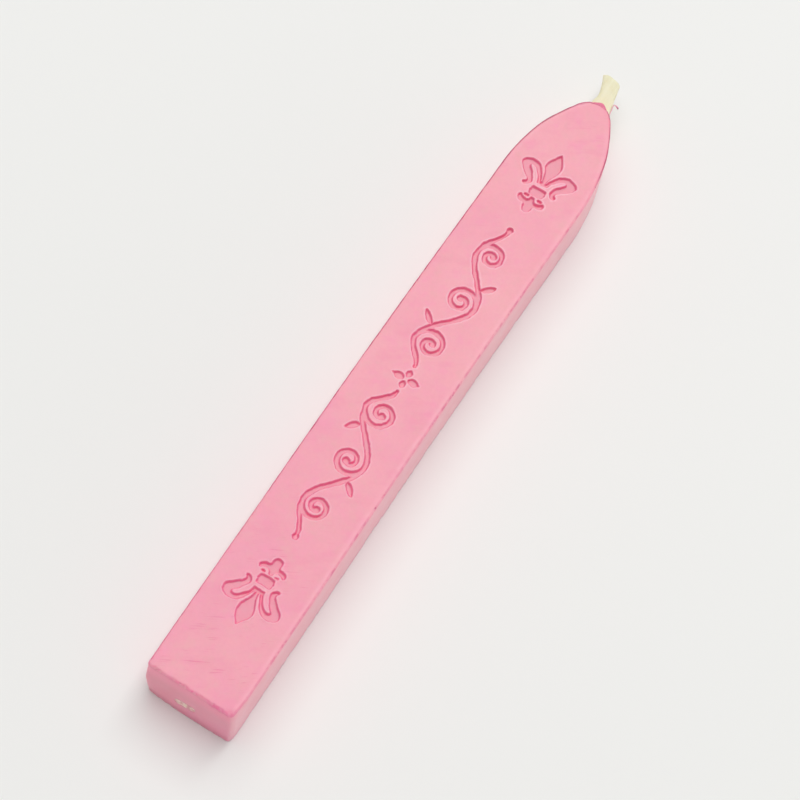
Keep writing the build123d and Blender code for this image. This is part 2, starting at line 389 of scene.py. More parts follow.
# ---------------------------------------------------------------- wax body
def build_wax():
    P = plan_outline()
    n = len(P)
    T = np.roll(P, -1, 0) - np.roll(P, 1, 0)
    T /= np.linalg.norm(T, axis=1, keepdims=True)
    N = np.stack([T[:, 1], -T[:, 0]], 1)
    x, y = P[:, 0], P[:, 1]
    # cast edges: a soft round of uneven radius, widest along the butt
    r_top = 0.27 + 0.05 * noise3(x / 2.3, y / 2.3, 0, 3) + 0.04 * noise3(x / 0.7, y / 0.7, 0, 4)
    at_butt = smooth(0.3, 0.9, -N[:, 0])
    r_top += at_butt * (0.09 + 0.07 * noise3(x / 0.45, y / 0.45, 0, 6) + 0.05 * noise3(x / 0.2, y / 0.2, 0, 7)) - 0.12 * smooth(42.6, 44.0, x)
    # the round stays inside the radius of the butt's corners
    room = np.where(x < -HL + 1.0, 0.50 + 0.30 * smooth(HW - 0.6, HW - 1.5, np.abs(y - centre(x))), 0.80)
    r_top = np.minimum(r_top, room - 0.08)
    r_bot = 0.16 + 0.05 * noise3(x / 1.9, y / 1.9, 5, 5)
    profile = []
    for a in np.linspace(0, np.pi / 2, 5):
        profile.append((r_bot * (1 - math.sin(a)), r_bot * (1 - math.cos(a)), 0.0))
    for t in np.linspace(0, 1, 15)[1:-1]:
        profile.append((np.zeros(n), r_bot + (H - r_top - r_bot) * t, math.sin(math.pi * t)))
    for a in np.linspace(0, np.pi / 2, 8):
        profile.append((r_top * (1 - math.cos(a)), H - r_top + r_top * math.sin(a), 0.0))
    profile.append((np.minimum(r_top + 0.12, room), H + 0 * x, 0.0))
    V = []
    for inset, z, mid in profile:
        wob = 0.030 * noise3(x / 3.7, y / 3.7, z / 3.7, 11) + 0.010 * noise3(x / 0.9, y / 0.9, z / 0.9, 12)
        low = 1 - z / H
        lean = 0.22 * low * smooth(0.5, 0.95, -N[:, 0]) + 0.12 * low * smooth(33, 38, x)
        lump = 0.20 * np.exp(-(((y + 0.30) / 0.55) ** 2)) * smooth(43.8, 44.6, x) * smooth(5.0, 7.6, z)
        out = -inset + wob * (0.25 + 0.75 * mid) + lean + lump
        V.append(np.stack([x + N[:, 0] * out, y + N[:, 1] * out, z + 0 * x], 1))
    rows = len(V)
    verts = np.concatenate(V)
    faces = []
    for j in range(rows - 1):
        for i in range(n):
            k = (i + 1) % n
            faces.append((j * n + i, j * n + k, (j + 1) * n + k, (j + 1) * n + i))

    # top: points dense where the engraving is steep, sparse elsewhere
    ring_top = verts[(rows - 1) * n:, :2]
    cells = [(cx, cy) for cx in np.arange(-HL, HL, 1.12) for cy in np.arange(-6.72, 6.72, 1.12)]
    cells = np.array(cells) + 0.56
    size, pts = 1.12, []
    while True:
        q = cells
        for sx in (-0.5, 0.5):
            for sy in (-0.5, 0.5):
                pts.append(q + [sx * size, sy * size])
        if size < 0.08:
            break
        d = engraving_distance(q)
        far = np.maximum.reduce([np.zeros(len(d)), d - 0.15, -0.18 - d])
        if size > 0.2:
            far[(q[:, 0] > 43.2) | (q[:, 0] < -HL + 1.6)] = 0.0
        if size > 0.1:
            far[q[:, 0] > 43.9] = 0.0
        if size > 0.3:
            far[half_width(np.clip(q[:, 0], -HL, HL)) - np.abs(q[:, 1] - centre(q[:, 0])) < 1.1] = 0.0
        q = q[far < size * 0.72]
        size /= 2
        cells = np.concatenate([q + [sx * size / 2, sy * size / 2] for sx in (-1, 1) for sy in (-1, 1)])
    pts = np.unique(np.round(np.concatenate(pts), 4), axis=0)
    hx = half_width(np.clip(pts[:, 0], -HL, HL))
    slope = np.gradient(half_width(np.linspace(-HL, HL - 0.02, 2000)), np.linspace(-HL, HL - 0.02, 2000))
    sl = np.interp(pts[:, 0], np.linspace(-HL, HL - 0.02, 2000), slope)
    gap = (hx - np.abs(pts[:, 1] - centre(pts[:, 0]))) / np.sqrt(1 + sl * sl)
    keep = (gap > np.where(pts[:, 0] > 42.5, 0.40, 0.60)) & (pts[:, 0] > -HL + 0.82) & (pts[:, 0] < HL - 0.38)
    pts = pts[keep]
    v2, f2, src = fill(ring_top, pts)
    base = len(verts)
    idx, extra = [], []
    for p, o in zip(v2, src):
        if o < n:
            idx.append((rows - 1) * n + o)
        else:
            idx.append(base + len(extra))
            extra.append((p[0], p[1], H))
    verts = np.concatenate([verts, np.array(extra)])
    for f in f2:
        faces.append(tuple(idx[i] for i in f))

    # underside: the poured face, a little hollow along the middle
    ring_bot = verts[:n, :2]
    gx, gy = np.meshgrid(np.arange(-HL + 1.2, HL - 1.2, 1.5), np.arange(-4.5, 4.6, 1.5))
    low = np.stack([gx.ravel(), gy.ravel()], 1)
    gap = half_width(low[:, 0]) - np.abs(low[:, 1] - centre(low[:, 0]))
    low = low[gap > 0.9]
    v2, f2, src = fill(ring_bot, low)
    base = len(verts)
    idx, extra = [], []
    for p, o in zip(v2, src):
        if o < n:
            idx.append(o)
        else:
            g = float(half_width(np.array([p[0]]))[0] - abs(p[1] - centre(p[0])))
            extra.append((p[0], p[1], 0.14 * float(smooth(0.5, 4.5, g)) + 0.02 * (1 + float(noise3(p[0] / 2.2, p[1] / 2.2, 0, 21)))))
            idx.append(base + len(extra) - 1)
    verts = np.concatenate([verts, np.array(extra)])
    for f in f2:
        faces.append(tuple(idx[i] for i in reversed(f)))

    # relief of the upper face
    x, y, z = verts.T.copy()
    up = z > H - 0.02
    d = np.full(len(verts), 2.0)
    d[up] = engraving_distance(verts[up, :2])
    wave = 0.026 * noise3(x / 6.5, y / 4.2, 0, 31) + 0.010 * noise3(x / 1.9, y / 1.9, 0, 32)
    lift = np.where(up, wave + engraving_height(x, y, d), 0.0)
    near = np.clip((z - (H - 0.6)) / 0.6, 0, 1)
    lift = np.where(up, lift, near * wave)
    verts[:, 2] += lift

    # a shallow ledge broken off the very tip
    x, y, z = verts.T.copy()
    brk = smooth(-0.07, 0.07, x - 44.56 + 0.14 * (y + 0.35) ** 2 + 0.05 * noise3(x / 0.5, y / 0.5, 0, 51)) * smooth(1.35, 0.9, np.abs(y + 0.1))
    verts[:, 2] -= np.where(z > H - 0.6, 0.17 * brk * (1 + 0.25 * noise3(x / 0.35, y / 0.35, 0, 52)), 0.0)

    # chips and dents along the edges: centre, radius, depth, direction
    rng = np.random.default_rng(7)
    dents = []

    def along(count, side, z, r, depth, way):
        for _ in range(count):
            px = rng.uniform(-43.5, 30)
            dents.append(((px, side * HW + float(centre(px)), z), rng.uniform(*r), rng.uniform(*depth), way))

    def across(count, z, r, depth, way):
        for _ in range(count):
            dents.append(((-HL, rng.uniform(-5.4, 5.0), z), rng.uniform(*r), rng.uniform(*depth), way))

    along(60, -1, H, (0.14, 0.32), (0.015, 0.06), (0, 0.75, -0.66))
    along(6, 1, H, (0.16, 0.30), (0.006, 0.014), (0, -0.75, -0.66))
    across(26, H, (0.16, 0.40), (0.03, 0.13), (0.75, 0, -0.66))
    across(12, 0.1, (0.18, 0.40), (0.02, 0.07), (0.9, 0, 0.44))
    along(64, -1, 0.1, (0.14, 0.36), (0.02, 0.09), (0, 0.9, 0.44))
    along(26, 1, 0.1, (0.18, 0.40), (0.02, 0.07), (0, -0.9, 0.44))
    # the far corner of the butt is worn round above and below
    dents.append(((-HL, HW - 0.24, H + 0.1), 0.8, 0.04, (0.62, -0.62, -0.48)))
    dents.append(((-HL - 0.2, HW - 0.3, 0.0), 1.6, 0.30, (0.80, -0.60, 0)))
    dents.append(((-HL - 0.1, HW - 0.3, 4.9), 1.9, 0.22, (-0.75, 0.66, 0)))
    dents.append(((-HL, HW, H), 0.6, 0.12, (-0.75, 0.66, 0)))
    # the near corner is worn down and in at the top and round at the foot
    dents.append(((-HL, -HW, H), 1.7, CORNER_IN, (0.0, 0.99, -0.10)))
    dents.append(((-HL - 0.05, -HW + 0.05, H + 0.05), 0.85, 0.42, (0.06, 0.08, -0.99)))
    dents.append(((-HL - 0.2, -HW, 0.0), 1.1, 0.13, (0.50, 0.85, 0.12)))
    for k in range(11):
        dents.append(((-HL, -HW, 0.9 + 0.6 * k), 0.6, 0.085 * min(1.0, (11 - k) / 8), (0.70, 0.70, 0)))
    for c, r, depth, way in dents:
        q = verts - np.array(c)
        m = (np.abs(q) < 2.6 * r).all(1)
        g = np.exp(-(q[m] ** 2).sum(1) / (r * r))
        verts[m] += g[:, None] * depth * np.array(way)
    verts[:, 2] = np.maximum(verts[:, 2], 0.0)
    ob = new_object("wax_stick", verts, faces)
    return ob


wax = build_wax()


# ---------------------------------------------------------------- wick
def wick_stations():
    """Left and right edge, middle height and roll along the flat braid."""
    xs = np.concatenate([[-HL - 0.13], np.arange(-HL, 45.0, 0.16), [45.0]])
    t = (xs + HL) / L
    cy, cz = 0.22 * (1 - t), 3.2 + (BEND_Z - 3.2) * t
    roll = np.radians(9.0) * (1 - smooth(-45, -20, xs))
    hw = np.full(len(xs), 1.34)
    rows = [((x, y + h * math.cos(r), z - h * math.sin(r)), (x, y - h * math.cos(r), z + h * math.sin(r)))
            for x, y, z, h, r in zip(xs, cy, cz, hw, roll)]
    # free end: the two edges in plan, sampled on smooth curves
    left = through([(45.0, 1.34), (46.1, 1.62), (47.14, 1.66), (47.7, 1.55), (48.4, 1.50), (49.3, 1.71), (50.25, 2.04), (51.1, 2.40)], False, 8)
    right = through([(45.0, -1.34), (46.0, -1.24), (46.9, -1.06), (47.92, -0.82), (48.6, -0.64), (49.3, -0.49), (50.0, -0.36), (50.56, -0.24)], False, 8)
    for a, b in zip(left[1:], right[1:]):
        rows.append(((a[0], a[1], BEND_Z), (b[0], b[1], BEND_Z)))
    return rows


def build_wick():
    rows = wick_stations()
    n = 44
    ang = 2 * np.pi * np.arange(n) / n
    cs, sn = np.cos(ang), np.sin(ang)
    u = np.sign(cs) * np.abs(cs) ** 0.62
    v = np.sign(sn) * np.abs(sn) ** 0.80
    V, run, last = [], 0.0, None

    def section(a, b, run, grow=1.0, flat=1.0):
        a, b = np.array(a), np.array(b)
        c, side = (a + b) / 2, (a - b) / 2
        hw = np.linalg.norm(side)
        side = side / hw
        up = np.array([0.0, 0.0, 1.0]) - side * side[2]
        up /= np.linalg.norm(up)
        # three-strand plait: lobes run in from both edges and lap over the middle
        s = run / 1.55 + np.sign(v) * 0.25
        right = 1 - (2 * np.abs((s + 0.62 * np.abs(u)) % 1 - 0.5)) ** 2.2
        left = 1 - (2 * np.abs((s + 0.5 + 0.62 * np.abs(u)) % 1 - 0.5)) ** 2.2
        k = np.clip((u + 0.16) / 0.32, 0, 1)
        k = k * k * (3 - 2 * k)
        groove = 0.075 * (1 - (right * k + left * (1 - k)))
        thick = (0.5 + 0.16 * float(smooth(-43.5, -45.0, np.array(c[0])))) * flat
        uu, vv = u * (hw - 0.6 * groove * np.abs(u)) * grow, v * (thick - flat * groove * (0.25 + 0.75 * np.abs(v)))
        return c + uu[:, None] * side + vv[:, None] * up, c

    for a, b in rows:
        ring, c = section(a, b, run)
        if last is not None:
            step = np.linalg.norm(c - last)
            run += step
            ring, c = section(a, b, run)
        last = c
        V.append(ring)
    # the cut end is frayed to a soft round
    a, b = (np.array(p) for p in rows[-1])
    e = a - b
    out = np.array([e[1], -e[0], 0.0]) / np.linalg.norm(e[:2])
    for reach, grow, flat in ((0.14, 0.965, 0.97), (0.26, 0.90, 0.92), (0.36, 0.80, 0.84), (0.43, 0.66, 0.72), (0.475, 0.48, 0.56), (0.50, 0.25, 0.34)):
        ring, c = section(a + out * reach, b + out * reach, run + reach, grow, flat)
        V.append(ring)
    m = len(V)
    verts = list(np.concatenate(V))
    faces = []
    for j in range(m - 1):
        for i in range(n):
            k = (i + 1) % n
            faces.append((j * n + i, (j + 1) * n + i, (j + 1) * n + k, j * n + k))
    faces.append(tuple(range((m - 1) * n, m * n)))
    # butt end: three yarn ends in the wax, a film of wax between them
    stain = [0.0] * len(verts)
    ring = list(range(n))
    pts = V[0]
    c = pts.mean(0)
    ax = np.array(rows[0][0]) - np.array(rows[0][1])
    ax /= np.linalg.norm(ax)
    for f in (0.95, 0.86, 0.74, 0.60, 0.44, 0.26, 0.1):
        new = []
        for p in pts:
            q = c + (p - c) * f
            w = (q - c) @ ax / 1.34
            fuzz = float(noise3(q[1] / 0.22, q[2] / 0.22, 0, 61))
            lump = math.cos(3 * math.pi * w)
            new.append(len(verts))
            verts.append(q - np.array([0.05 + 0.05 * lump + 0.025 * fuzz, 0, 0]) * (1 - f**6))
            rim = float(smooth(0.55, 1.0, np.array(f)))
            stain.append(min(1.0, max(0.30 + 0.20 * fuzz + 0.45 * float(smooth(-0.1, -0.9, np.array(lump))), rim)))
        for i in range(n):
            k = (i + 1) % n
            faces.append((new[i], new[k], ring[k], ring[i])[::-1])
        ring = new
    faces.append(tuple(ring))
    ob = new_object("wick_braid", np.array(verts), faces)
    bm = bmesh.new()
    bm.from_mesh(ob.data)
    bmesh.ops.recalc_face_normals(bm, faces=bm.faces)
    bm.to_mesh(ob.data)
    bm.free()
    set_attribute(ob, "wax_film", stain)
    return ob


wick = build_wick()


# ---------------------------------------------------------------- channel for the wick in the wax
def cut_channel():
    sec = []
    for i in range(40):
        a = 2 * np.pi * i / 40
        c, s = math.cos(a), math.sin(a)
        sec.append((math.copysign(abs(c) ** 0.62, c), math.copysign(abs(s) ** 0.8, s)))
    V, F = [], []
    xs = np.array([-HL - 2, -HL, -44.6, -44.2, -43.8, -43.5, -30, -20, 0, 20, 40, HL + 2])
    for x in xs:
        k = np.clip((x + HL) / L, 0, 1.02)
        cy, cz = 0.22 * (1 - k), 3.2 + (BEND_Z - 3.2) * k
        r = math.radians(9.0) * (1 - float(smooth(-45, -20, np.array(x))))
        for u, v in sec:
            b = v * (0.512 + 0.16 * float(smooth(-43.5, -45.0, np.array(x))))
            a = u * 1.352
            V.append((x, cy + a * math.cos(r) + b * math.sin(r), cz - a * math.sin(r) + b * math.cos(r)))
    for j in range(len(xs) - 1):
        for i in range(40):
            k = (i + 1) % 40
            F.append((j * 40 + i, (j + 1) * 40 + i, (j + 1) * 40 + k, j * 40 + k))
    F.append(tuple(range(40)))
    F.append(tuple(reversed(range((len(xs) - 1) * 40, len(xs) * 40))))
    tool = new_object("channel", V, F)
    bm = bmesh.new()
    bm.from_mesh(tool.data)
    bmesh.ops.recalc_face_normals(bm, faces=bm.faces)
    bm.to_mesh(tool.data)
    bm.free()
    mod = wax.modifiers.new("channel", "BOOLEAN")
    mod.operation = "DIFFERENCE"
    mod.object = tool
    mod.solver = "EXACT"
    dg = bpy.context.evaluated_depsgraph_get()
    me = bpy.data.meshes.new_from_object(wax.evaluated_get(dg))
    wax.modifiers.clear()
    old = wax.data
    wax.data = me
    bpy.data.meshes.remove(old)
    me.name = "wax_stick"
    bpy.data.objects.remove(tool)
    me.polygons.foreach_set("use_smooth", np.ones(len(me.polygons), bool))


cut_channel()

# masks for the colour, painted light and shade among them, from the shape itself
co = coords(wax)
nor = np.zeros(len(co) * 3, np.float32)
wax.data.vertices.foreach_get("normal", nor)
nz = nor.reshape(-1, 3)[:, 2]
side_x = np.linspace(-HL, HL - 0.02, 2000)
lean_in = np.interp(co[:, 0], side_x, np.gradient(half_width(side_x), side_x))
gap = (half_width(np.clip(co[:, 0], -HL, HL)) - np.abs(co[:, 1] - centre(co[:, 0]))) / np.sqrt(1 + lean_in**2)
gap = np.minimum(gap, co[:, 0] + HL)
gap -= CORNER_IN * np.exp(-(((co - np.array([-HL, -HW, H])) / 1.7) ** 2).sum(1)) * smooth(0.4, 1.0, co[:, 0] + HL)
upper = co[:, 2] > H - 0.75
inner = upper & (gap > 0.6) & (co[:, 0] < 43.9)
dist = np.full(len(co), 2.0)
dist[inner] = engraving_distance(co[inner, :2])
tilt = smooth(0.96, 0.55, nz)
# painted shade: the steep walls of each recess are coloured a darker, deeper pink
set_attribute(wax, "recess_wall_shade", np.where(inner, tilt * smooth(0.2, 0.05, dist), 0.0))
# painted shade: the floors of the recesses are coloured a darker, greyer pink
set_attribute(wax, "recess_floor_shade", np.where(inner, smooth(0.0, -0.2, dist), 0.0))
# rounded top edge: painted shade along most of it, painted highlight on the near side
edge = np.where(upper & ~inner, smooth(0.985, 0.85, nz) * smooth(0.02, 0.35, nz) * smooth(0.55, 0.25, np.where(co[:, 0] > 43.9, 0.0, gap)), 0.0)
near_side = smooth(-0.15, -0.45, nor.reshape(-1, 3)[:, 1]) * smooth(38.0, 33.0, co[:, 0])
far_side = co[:, 1] > centre(co[:, 0])
fade = np.where(far_side, np.interp(co[:, 0], [-44, -22, -12], [0.55, 0.55, 1.0]), np.interp(co[:, 0], [-30, 36, 40], [1.0, 1.0, 0.6]))
# at the apex the painted dark edge shade stays on the rounding and off the wall below it
top_only = np.where(co[:, 0] > np.where(far_side, 42.5, 44.2), smooth(H - 0.55, H - 0.32, co[:, 2]), 1.0)
set_attribute(wax, "edge_shade", edge * (1 - near_side) * fade * top_only)
# painted shade: a dark line along the far top edge toward the point
set_attribute(wax, "far_edge_shade", np.where(upper & far_side, smooth(0.0, -0.19, gap - np.interp(co[:, 0], [34, 40], [0.27, 0.34])) * smooth(25.0, 33.0, co[:, 0]) * top_only, 0.0))
# painted glow: a deeper pink band along the near top edge toward the point
set_attribute(wax, "edge_glow", np.where(upper & ~far_side, np.exp(-(((gap - 0.22) / 0.15) ** 2)) * smooth(26.0, 34.0, co[:, 0]), 0.0))
# painted shade: a dark line on the near edge of the point
set_attribute(wax, "nose_edge_shade", np.where(upper & ~far_side, smooth(0.22, 0.06, gap) * smooth(34.0, 38.0, co[:, 0]) * top_only, 0.0))
shelf = smooth(0.02, 0.12, co[:, 0] - 44.56 + 0.14 * (co[:, 1] + 0.35) ** 2) * smooth(1.35, 0.9, np.abs(co[:, 1] + 0.1))
set_attribute(wax, "ledge", np.where(upper, shelf * smooth(0.35, 0.75, nz), 0.0))
# painted highlight: a pale band inside the far top edge near the point
set_attribute(wax, "far_edge_highlight", np.where(upper & far_side, np.exp(-(((gap - 0.46) / 0.14) ** 2)) * smooth(28.0, 34.0, co[:, 0]) * smooth(44.2, 43.4, co[:, 0]), 0.0))
# painted highlight along the rounded near top edge
set_attribute(wax, "edge_light", edge * near_side)
straight = smooth(37.0, 31.0, co[:, 0]) * smooth(-HL + 0.3, -HL + 1.0, co[:, 0])
# painted shade: a broken dark pink line right at the near top edge
set_attribute(wax, "near_edge_shade", np.where(upper & ~far_side, np.exp(-(((gap - 0.13) / 0.10) ** 2)) * straight, 0.0))
# painted highlight: a pale band inside the near top edge
set_attribute(wax, "near_edge_highlight", np.where(upper & ~far_side, np.exp(-(((gap - 0.46) / 0.18) ** 2)) * smooth(43.4, 41.6, co[:, 0]) * smooth(-HL + 0.3, -HL + 1.0, co[:, 0]), 0.0))
set_attribute(wax, "corner_wear", np.where(inner, 0.0, np.exp(-(((co - np.array([-HL + 0.05, -HW + 0.22, H - 0.45])) / [0.75, 0.90, 1.25]) ** 2).sum(1))))
# painted light on the side walls: paler as a painted reflection of the floor, pinker near the top, darker at the foot
# as painted shade
set_attribute(wax, "side_wall_light", np.where(inner, 0.0, smooth(44.6, 39.5, co[:, 0]) * smooth(0.6, 0.15, np.abs(nz)) * np.where(co[:, 0] < -40, smooth(-0.02, -0.95, nor.reshape(-1, 3)[:, 1]), smooth(-0.3, -0.7, nor.reshape(-1, 3)[:, 1]))))
# painted highlight along the raised lip of each recess
set_attribute(wax, "lip", np.where(inner, np.exp(-(((dist - 0.15) / 0.08) ** 2)), 0.0))
set_attribute(wax, "butt_end", smooth(0.9, 0.3, co[:, 0] + HL))
set_attribute(wax, "flank", np.where(inner, 0.0, smooth(0.6, 0.15, np.abs(nz))))


# ---------------------------------------------------------------- wax flash on the wick
def build_flash():
    """A thread of wax drawn up one edge of the wick, curled over at its end."""
    path = through([(44.0, -1.52, 4.2), (45.4, -1.38, 4.25), (46.3, -1.20, 4.3), (46.7, -1.09, 4.4), (47.3, -1.0, 4.5), (47.8, -0.90, 4.62), (47.92, -0.94, 4.76), (47.92, -1.06, 4.8), (47.89, -1.27, 4.8), (47.85, -1.48, 4.7), (47.86, -1.59, 4.5)], False, 7)
    n = 10
    V, F = [], []
    m = len(path)
    for j, p in enumerate(path):
        t = path[min(j + 1, m - 1)] - path[max(j - 1, 0)]
        t /= np.linalg.norm(t)
        s = np.cross(t, [0, 0, 1.0])
        s /= np.linalg.norm(s)
        u = np.cross(s, t)
        f = j / (m - 1)
        a = (0.066 - 0.016 * math.exp(-(((f - 0.62) / 0.12) ** 2)) + 0.030 * max(0.0, min(1.0, (f - 0.72) / 0.18))) * (1 + 0.10 * math.sin(9 * f)) * (1 if f < 0.98 else 0.6)
        b = a * (1.5 - 0.4 * f)
        for i in range(n):
            w = 2 * math.pi * i / n
            V.append(p + s * a * math.cos(w) + u * b * math.sin(w))
    for j in range(m - 1):
        for i in range(n):
            k = (i + 1) % n
            F.append((j * n + i, j * n + k, (j + 1) * n + k, (j + 1) * n + i))
    F.append(tuple(reversed(range(n))))
    F.append(tuple(range((m - 1) * n, m * n)))
    ob = new_object("wax_flash", V, F)
    set_attribute(ob, "curl", np.repeat(smooth(0.70, 0.92, np.arange(m) / (m - 1)), n))
    bm = bmesh.new()
    bm.from_mesh(ob.data)
    bmesh.ops.recalc_face_normals(bm, faces=bm.faces)
    bm.to_mesh(ob.data)
    bm.free()
    return ob


flash = build_flash()


# ---------------------------------------------------------------- materials
def srgb(r, g, b):
    out = []
    for c in (r, g, b):
        c /= 255.0
        out.append(c / 12.92 if c <= 0.04045 else ((c + 0.055) / 1.055) ** 2.4)
    return (*out, 1.0)


class Nodes:
    """Small helper to lay out a node tree."""

    def __init__(self, name):
        self.mat = bpy.data.materials.new(name)
        self.mat.use_nodes = True
        self.tree = self.mat.node_tree
        self.tree.nodes.clear()
        self.out = self.add("ShaderNodeOutputMaterial")
        self.bsdf = self.add("ShaderNodeBsdfPrincipled")
        self.link(self.bsdf.outputs[0], self.out.inputs[0])
        self.coord = self.add("ShaderNodeTexCoord").outputs["Object"]

    def add(self, kind, **props):
        node = self.tree.nodes.new(kind)
        for k, v in props.items():
            setattr(node, k, v)
        return node

    def link(self, a, b):
        self.tree.links.new(a, b)

    def scaled(self, scale, rotate=(0, 0, 0)):
        m = self.add("ShaderNodeMapping")
        m.inputs["Scale"].default_value = scale
        m.inputs["Rotation"].default_value = rotate
        self.link(self.coord, m.inputs["Vector"])
        return m.outputs[0]

    def streaks(self, length, width, turn):
        m = self.add("ShaderNodeMapping", vector_type="TEXTURE")
        m.inputs["Scale"].default_value = (length, width, length)
        m.inputs["Rotation"].default_value = (0, 0, turn)
        self.link(self.coord, m.inputs["Vector"])
        return m.outputs[0]

    def noise(self, scale, detail=3.0, rough=0.55, vector=None):
        t = self.add("ShaderNodeTexNoise")
        t.inputs["Scale"].default_value = scale
        t.inputs["Detail"].default_value = detail
        t.inputs["Roughness"].default_value = rough
        self.link(vector or self.coord, t.inputs["Vector"])
        return t.outputs["Fac"]

    def ramp(self, value, stops):
        r = self.add("ShaderNodeValToRGB")
        el = r.color_ramp.elements
        while len(el) > 1:
            el.remove(el[-1])
        el[0].position, el[0].color = stops[0]
        for p, c in stops[1:]:
            e = el.new(p)
            e.color = c
        self.link(value, r.inputs[0])
        return r.outputs[0]

    def grey(self, value, a, b, lo=0.0, hi=1.0):
        m = self.add("ShaderNodeMapRange")
        m.interpolation_type = "SMOOTHSTEP"
        m.inputs["From Min"].default_value = a
        m.inputs["From Max"].default_value = b
        m.inputs["To Min"].default_value = lo
        m.inputs["To Max"].default_value = hi
        self.link(value, m.inputs["Value"])
        return m.outputs[0]

    def mix(self, fac, a, b, mode="MIX"):
        m = self.add("ShaderNodeMix", data_type="RGBA", blend_type=mode)
        for socket, v in ((m.inputs[0], fac), (m.inputs[6], a), (m.inputs[7], b)):
            if hasattr(v, "is_linked"):
                self.link(v, socket)
            else:
                socket.default_value = v
        return m.outputs[2]

    def math(self, op, a, b):
        m = self.add("ShaderNodeMath", operation=op)
        for socket, v in ((m.inputs[0], a), (m.inputs[1], b)):
            if hasattr(v, "is_linked"):
                self.link(v, socket)
            else:
                socket.default_value = v
        return m.outputs[0]

    def attribute(self, name):
        a = self.add("ShaderNodeAttribute", attribute_name=name)
        return a.outputs["Fac"]

    def bump(self, height, distance, strength=1.0, normal=None):
        b = self.add("ShaderNodeBump")
        if hasattr(strength, "is_linked"):
            self.link(strength, b.inputs["Strength"])
        else:
            b.inputs["Strength"].default_value = strength
        b.inputs["Distance"].default_value = distance
        self.link(height, b.inputs["Height"])
        if normal:
            self.link(normal, b.inputs["Normal"])
        return b.outputs[0]


